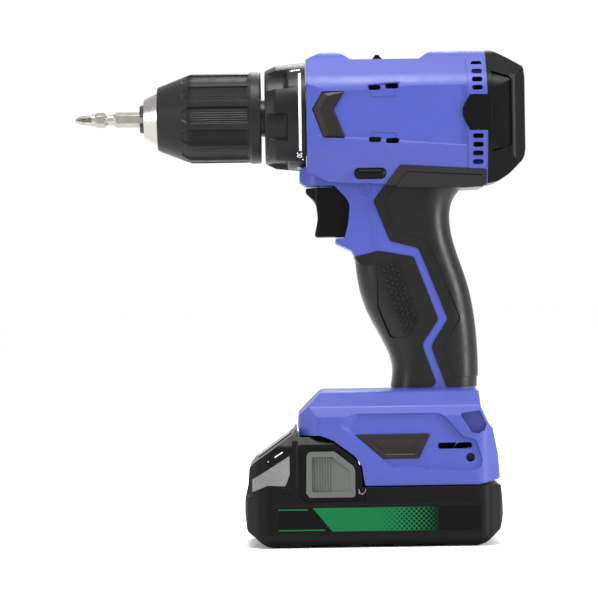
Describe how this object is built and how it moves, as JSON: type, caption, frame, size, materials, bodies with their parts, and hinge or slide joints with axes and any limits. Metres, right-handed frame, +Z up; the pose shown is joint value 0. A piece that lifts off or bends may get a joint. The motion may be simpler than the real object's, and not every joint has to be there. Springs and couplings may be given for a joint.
{
  "type": "cordless drill driver",
  "caption": "Pistol-grip cordless drill driver with a keyless chuck, a clutch ring, a two-speed gearbox, a screwdriver bit and a slide-on battery with side latches.",
  "frame": {"origin": "on the floor under the middle of the battery, in the plane that parts the two housing halves", "axes": "+Z up, -X towards the chuck and bit, +Y to the user's right when the chuck points away"},
  "size_m": [0.2143, 0.0766, 0.2342],
  "materials": {
    "blue_shell": "satin, fine spark-eroded grain",
    "black_rubber": "soft matt rubber with fine grain",
    "black_shell": "matt, fine spark-eroded grain",
    "bronze_trim": "dark bronze, faceted",
    "chuck_polymer": "matt glass-filled nylon",
    "nose_steel": "bright plated",
    "tool_steel": "ground",
    "gear_steel": "sintered steel, oiled",
    "black_oxide": "blackened steel",
    "die_cast": "die cast",
    "spring_steel": "drawn wire",
    "laminations": "stacked sheet",
    "copper_wire": "enamelled copper",
    "nylon_fan": "matt",
    "circuit_board": "solder mask",
    "contact_brass": "tinned",
    "lamp_lens": "clear",
    "wire_insulation": "smooth",
    "cell_wrap": "shrink wrap",
    "label_film": "printed film, no text",
    "latch_grey": "satin",
    "dial_polymer": "satin",
    "grey_grain": "coarse grain",
    "white_print": "printed marks",
    "gauge_film": "smooth film"
  },
  "bodies": {
    "tool_body": {"left_housing": "blue_shell", "right_housing": "blue_shell", "rear_cover": "black_shell", "left_grip": "black_rubber", "right_grip": "black_rubber", "chevrons": "bronze_trim", "foot_inserts": "bronze_trim", "housing_screws": "black_oxide", "rear_cover_screws": "black_oxide", "gearbox_case": "die_cast", "ring_gear_2": "gear_steel", "clutch_pins": "gear_steel", "spindle_bearings": "tool_steel", "motor_plate": "die_cast", "motor_bearings": "tool_steel", "stator_core": "laminations", "stator_coils": "copper_wire", "switch_body": "black_shell", "led_lamp": "lamp_lens", "control_board": "circuit_board", "terminal_block": "black_shell", "tool_terminals": "contact_brass", "wiring": "wire_insulation", "clutch_spring": "spring_steel", "trigger_spring": "spring_steel"},
    "spindle_body": {"spindle": "black_oxide", "carrier_2": "gear_steel", "chuck_body": "nose_steel", "chuck_screw": "black_oxide"},
    "sleeve_body": {"chuck_sleeve": "chuck_polymer", "jaw_nut": "gear_steel"},
    "jaw_1_body": {"jaw_1": "black_oxide"},
    "jaw_2_body": {"jaw_2": "black_oxide"},
    "jaw_3_body": {"jaw_3": "black_oxide"},
    "bit_body": {"screwdriver_bit": "tool_steel"},
    "torque_ring_body": {"torque_ring": "dial_polymer"},
    "clutch_nut_body": {"clutch_nut": "gear_steel"},
    "speed_shift_body": {"speed_knob": "black_shell", "shift_fork": "spring_steel", "ring_gear_1": "gear_steel"},
    "rotor_body": {"rotor": "tool_steel", "cooling_fan": "nylon_fan"},
    "carrier_1_body": {"carrier_1": "gear_steel"},
    "planet_1a_body": {"planet_1a": "gear_steel"},
    "planet_1b_body": {"planet_1b": "gear_steel"},
    "planet_1c_body": {"planet_1c": "gear_steel"},
    "planet_2a_body": {"planet_2a": "gear_steel"},
    "planet_2b_body": {"planet_2b": "gear_steel"},
    "planet_2c_body": {"planet_2c": "gear_steel"},
    "trigger_body": {"trigger": "black_shell"},
    "selector_body": {"direction_selector": "blue_shell"},
    "battery_body": {"battery_lower_case": "black_shell", "battery_upper_case": "black_shell", "battery_cells": "cell_wrap", "battery_board": "circuit_board", "battery_terminals": "contact_brass", "battery_labels": "label_film", "battery_gauge": "gauge_film"},
    "left_latch_body": {"left_latch": "latch_grey"},
    "right_latch_body": {"right_latch": "latch_grey"}
  },
  "joints": [
    {"name": "spindle_spin", "type": "hinge", "parent": "tool_body", "child": "spindle_body", "pos_m": [0, 0, 0.204], "axis": [1, 0, 0], "continuous": true},
    {"name": "rotor_spin", "type": "hinge", "parent": "tool_body", "child": "rotor_body", "pos_m": [0, 0, 0.204], "axis": [1, 0, 0], "continuous": true},
    {"name": "carrier_1_spin", "type": "hinge", "parent": "tool_body", "child": "carrier_1_body", "pos_m": [0, 0, 0.204], "axis": [1, 0, 0], "continuous": true},
    {"name": "sleeve_turn", "type": "hinge", "parent": "spindle_body", "child": "sleeve_body", "pos_m": [0, 0, 0.204], "axis": [1, 0, 0], "range_deg": [0, 4320]},
    {"name": "bit_slide", "type": "slide", "parent": "spindle_body", "child": "bit_body", "axis": [-1, 0, 0], "range_m": [0, 0.045]},
    {"name": "torque_ring_turn", "type": "hinge", "parent": "tool_body", "child": "torque_ring_body", "pos_m": [0, 0, 0.204], "axis": [1, 0, 0], "range_deg": [0, 300]},
    {"name": "clutch_nut_slide", "type": "slide", "parent": "torque_ring_body", "child": "clutch_nut_body", "axis": [1, 0, 0], "range_m": [0, 0.0071], "deforming": ["clutch_spring"]},
    {"name": "speed_shift", "type": "slide", "parent": "tool_body", "child": "speed_shift_body", "axis": [-1, 0, 0], "range_m": [0, 0.007]},
    {"name": "trigger_pull", "type": "slide", "parent": "tool_body", "child": "trigger_body", "axis": [1, 0, 0], "range_m": [0, 0.008], "stiffness_N_per_m": 400, "springref_m": -0.004, "deforming": ["trigger_spring"]},
    {"name": "selector_push", "type": "slide", "parent": "tool_body", "child": "selector_body", "axis": [0, 1, 0], "range_m": [-0.003, 0.003]},
    {"name": "battery_slide", "type": "slide", "parent": "tool_body", "child": "battery_body", "axis": [-1, 0, 0], "range_m": [0, 0.1]},
    {"name": "left_latch_press", "type": "slide", "parent": "battery_body", "child": "left_latch_body", "axis": [0, 1, 0], "range_m": [0, 0.003], "stiffness_N_per_m": 600, "springref_m": -0.002},
    {"name": "right_latch_press", "type": "slide", "parent": "battery_body", "child": "right_latch_body", "axis": [0, -1, 0], "range_m": [0, 0.003], "stiffness_N_per_m": 600, "springref_m": -0.002},
    {"name": "jaw_1_slide", "type": "slide", "parent": "spindle_body", "child": "jaw_1_body", "axis": [0.9659, 0.2588, 0], "range_m": [0, 0.01285]},
    {"name": "jaw_2_slide", "type": "slide", "parent": "spindle_body", "child": "jaw_2_body", "axis": [0.9659, -0.1294, 0.2241], "range_m": [0, 0.01285]},
    {"name": "jaw_3_slide", "type": "slide", "parent": "spindle_body", "child": "jaw_3_body", "axis": [0.9659, -0.1294, -0.2241], "range_m": [0, 0.01285]},
    {"name": "planet_1a_spin", "type": "hinge", "parent": "carrier_1_body", "child": "planet_1a_body", "pos_m": [0, 0, 0.21547], "axis": [1, 0, 0], "continuous": true},
    {"name": "planet_1b_spin", "type": "hinge", "parent": "carrier_1_body", "child": "planet_1b_body", "pos_m": [0, -0.00994, 0.19826], "axis": [1, 0, 0], "continuous": true},
    {"name": "planet_1c_spin", "type": "hinge", "parent": "carrier_1_body", "child": "planet_1c_body", "pos_m": [0, 0.00994, 0.19826], "axis": [1, 0, 0], "continuous": true},
    {"name": "planet_2a_spin", "type": "hinge", "parent": "spindle_body", "child": "planet_2a_body", "pos_m": [0, 0, 0.21413], "axis": [1, 0, 0], "continuous": true},
    {"name": "planet_2b_spin", "type": "hinge", "parent": "spindle_body", "child": "planet_2b_body", "pos_m": [0, -0.00877, 0.19894], "axis": [1, 0, 0], "continuous": true},
    {"name": "planet_2c_spin", "type": "hinge", "parent": "spindle_body", "child": "planet_2c_body", "pos_m": [0, 0.00877, 0.19894], "axis": [1, 0, 0], "continuous": true}
  ],
  "couplings": [
    {"joint": "carrier_1_spin", "follows": "spindle_spin", "ratio": 6},
    {"joint": "rotor_spin", "follows": "spindle_spin", "ratio": 21.6},
    {"joint": "clutch_nut_slide", "follows": "torque_ring_turn", "m_per_rad": 0.0013369},
    {"joint": "planet_1a_spin", "follows": "spindle_spin", "ratio": -19.5},
    {"joint": "planet_2a_spin", "follows": "spindle_spin", "ratio": -2.5},
    {"joint": "planet_1b_spin", "follows": "spindle_spin", "ratio": -19.5},
    {"joint": "planet_2b_spin", "follows": "spindle_spin", "ratio": -2.5},
    {"joint": "planet_1c_spin", "follows": "spindle_spin", "ratio": -19.5},
    {"joint": "planet_2c_spin", "follows": "spindle_spin", "ratio": -2.5},
    {"joint": "jaw_1_slide", "follows": "sleeve_turn", "m_per_rad": 0.0001703},
    {"joint": "jaw_2_slide", "follows": "sleeve_turn", "m_per_rad": 0.0001703},
    {"joint": "jaw_3_slide", "follows": "sleeve_turn", "m_per_rad": 0.0001703}
  ]
}
